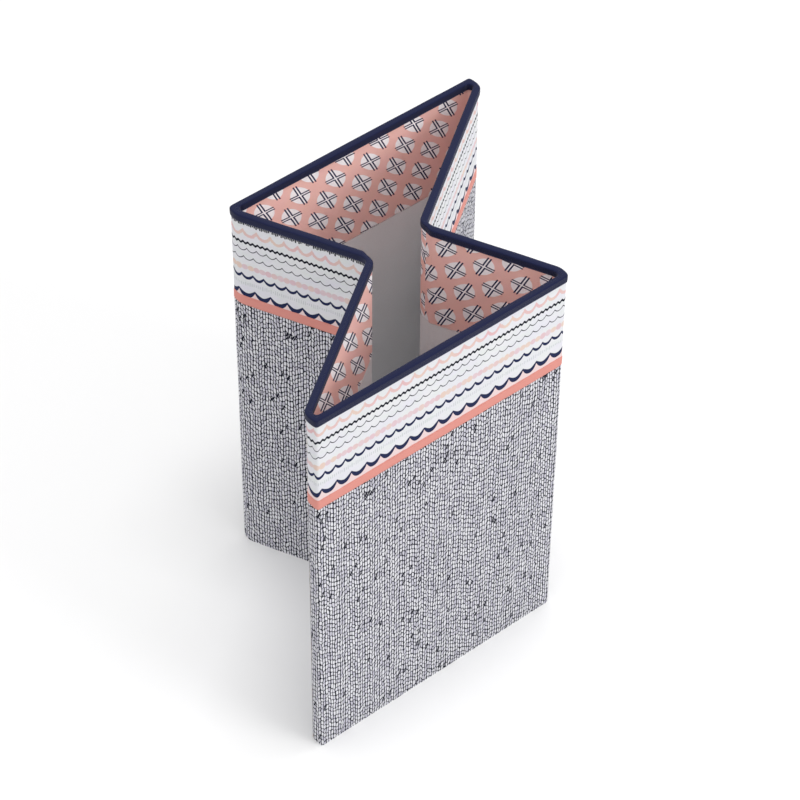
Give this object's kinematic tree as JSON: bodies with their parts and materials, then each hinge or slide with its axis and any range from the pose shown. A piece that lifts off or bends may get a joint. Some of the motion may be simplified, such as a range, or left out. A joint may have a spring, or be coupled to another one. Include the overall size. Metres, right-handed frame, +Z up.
{
  "type": "fabric storage bin",
  "caption": "Collapsible fabric storage bin with stiff board walls, folding side gussets and a bound rim, standing half folded.",
  "frame": {"origin": "on the floor, under the middle of the bin as it stands half folded", "axes": "+Z up, +Y to the back panel, +X to the right as seen from the front"},
  "size_m": [0.5274, 0.3498, 0.585],
  "materials": {
    "stiff_board": "matte fibreboard",
    "knit_print_fabric": "printed woven fabric, dark outlined cells on pale lavender",
    "scallop_print_fabric": "printed woven fabric, rows of scallops on white",
    "coral_ribbon": "plain coral ribbon",
    "cross_print_fabric": "printed woven fabric, navy crosses on white blobs on pink",
    "grey_lining": "plain non-woven lining",
    "navy_binding": "folded woven tape"
  },
  "bodies": {
    "front": {"front_board": "stiff_board", "front_cover": "knit_print_fabric", "front_cuff": "scallop_print_fabric", "front_ribbon": "coral_ribbon", "front_facing": "cross_print_fabric", "front_lining": "grey_lining", "front_binding": "navy_binding", "front_left_corner": "knit_print_fabric", "front_right_corner": "knit_print_fabric"},
    "back": {"back_board": "stiff_board", "back_cover": "knit_print_fabric", "back_cuff": "scallop_print_fabric", "back_ribbon": "coral_ribbon", "back_facing": "cross_print_fabric", "back_lining": "grey_lining", "back_binding": "navy_binding", "back_left_corner": "knit_print_fabric", "back_right_corner": "knit_print_fabric"},
    "left_front": {"left_front_board": "stiff_board", "left_front_cover": "knit_print_fabric", "left_front_cuff": "scallop_print_fabric", "left_front_ribbon": "coral_ribbon", "left_front_facing": "cross_print_fabric", "left_front_lining": "grey_lining", "left_front_binding": "navy_binding"},
    "right_rear": {"right_rear_board": "stiff_board", "right_rear_cover": "knit_print_fabric", "right_rear_cuff": "scallop_print_fabric", "right_rear_ribbon": "coral_ribbon", "right_rear_facing": "cross_print_fabric", "right_rear_lining": "grey_lining", "right_rear_binding": "navy_binding"},
    "left_rear": {"left_rear_board": "stiff_board", "left_rear_cover": "knit_print_fabric", "left_rear_cuff": "scallop_print_fabric", "left_rear_ribbon": "coral_ribbon", "left_rear_facing": "cross_print_fabric", "left_rear_lining": "grey_lining", "left_rear_binding": "navy_binding"},
    "right_front": {"right_front_board": "stiff_board", "right_front_cover": "knit_print_fabric", "right_front_cuff": "scallop_print_fabric", "right_front_ribbon": "coral_ribbon", "right_front_facing": "cross_print_fabric", "right_front_lining": "grey_lining", "right_front_binding": "navy_binding"},
    "left_crease": {"left_crease_fold": "knit_print_fabric"},
    "right_crease": {"right_crease_fold": "knit_print_fabric"},
    "base_insert": {"base_board": "stiff_board", "base_sleeve": "grey_lining"}
  },
  "joints": [
    {"name": "left_front_fold", "type": "hinge", "parent": "front", "child": "left_front", "pos_m": [-0.25771, -0.15837, 0], "axis": [0, 0, -1], "range_deg": [-55, 27]},
    {"name": "left_front_crease", "type": "hinge", "parent": "left_front", "child": "left_crease", "pos_m": [-0.04845, -0.00392, 0], "axis": [0, 0, 1], "range_deg": [-55, 27]},
    {"name": "left_rear_crease", "type": "hinge", "parent": "left_crease", "child": "left_rear", "pos_m": [-0.04845, 0.00608, 0], "axis": [0, 0, 1], "range_deg": [-25, 65]},
    {"name": "back_left_fold", "type": "hinge", "parent": "left_rear", "child": "back", "pos_m": [-0.11229, 0.15837, 0], "axis": [0, 0, -1], "range_deg": [-25, 65]},
    {"name": "right_front_fold", "type": "hinge", "parent": "front", "child": "right_front", "pos_m": [0.11229, -0.15837, 0], "axis": [0, 0, 1], "range_deg": [-25, 65]},
    {"name": "right_front_crease", "type": "hinge", "parent": "right_front", "child": "right_crease", "pos_m": [0.04845, -0.00608, 0], "axis": [0, 0, -1], "range_deg": [-25, 65]},
    {"name": "right_rear_crease", "type": "hinge", "parent": "right_crease", "child": "right_rear", "pos_m": [0.04845, 0.00392, 0], "axis": [0, 0, -1], "range_deg": [-55, 27]},
    {"name": "base_insert_lift", "type": "slide", "parent": "front", "child": "base_insert", "axis": [0, 0, 1], "range_m": [0, 0.59]}
  ],
  "couplings": [
    {"joint": "left_front_crease", "follows": "left_front_fold", "ratio": 1},
    {"joint": "right_rear_crease", "follows": "left_front_fold", "ratio": 1},
    {"joint": "left_rear_crease", "follows": "right_front_fold", "ratio": 1},
    {"joint": "back_left_fold", "follows": "right_front_fold", "ratio": 1},
    {"joint": "right_front_crease", "follows": "right_front_fold", "ratio": 1}
  ]
}
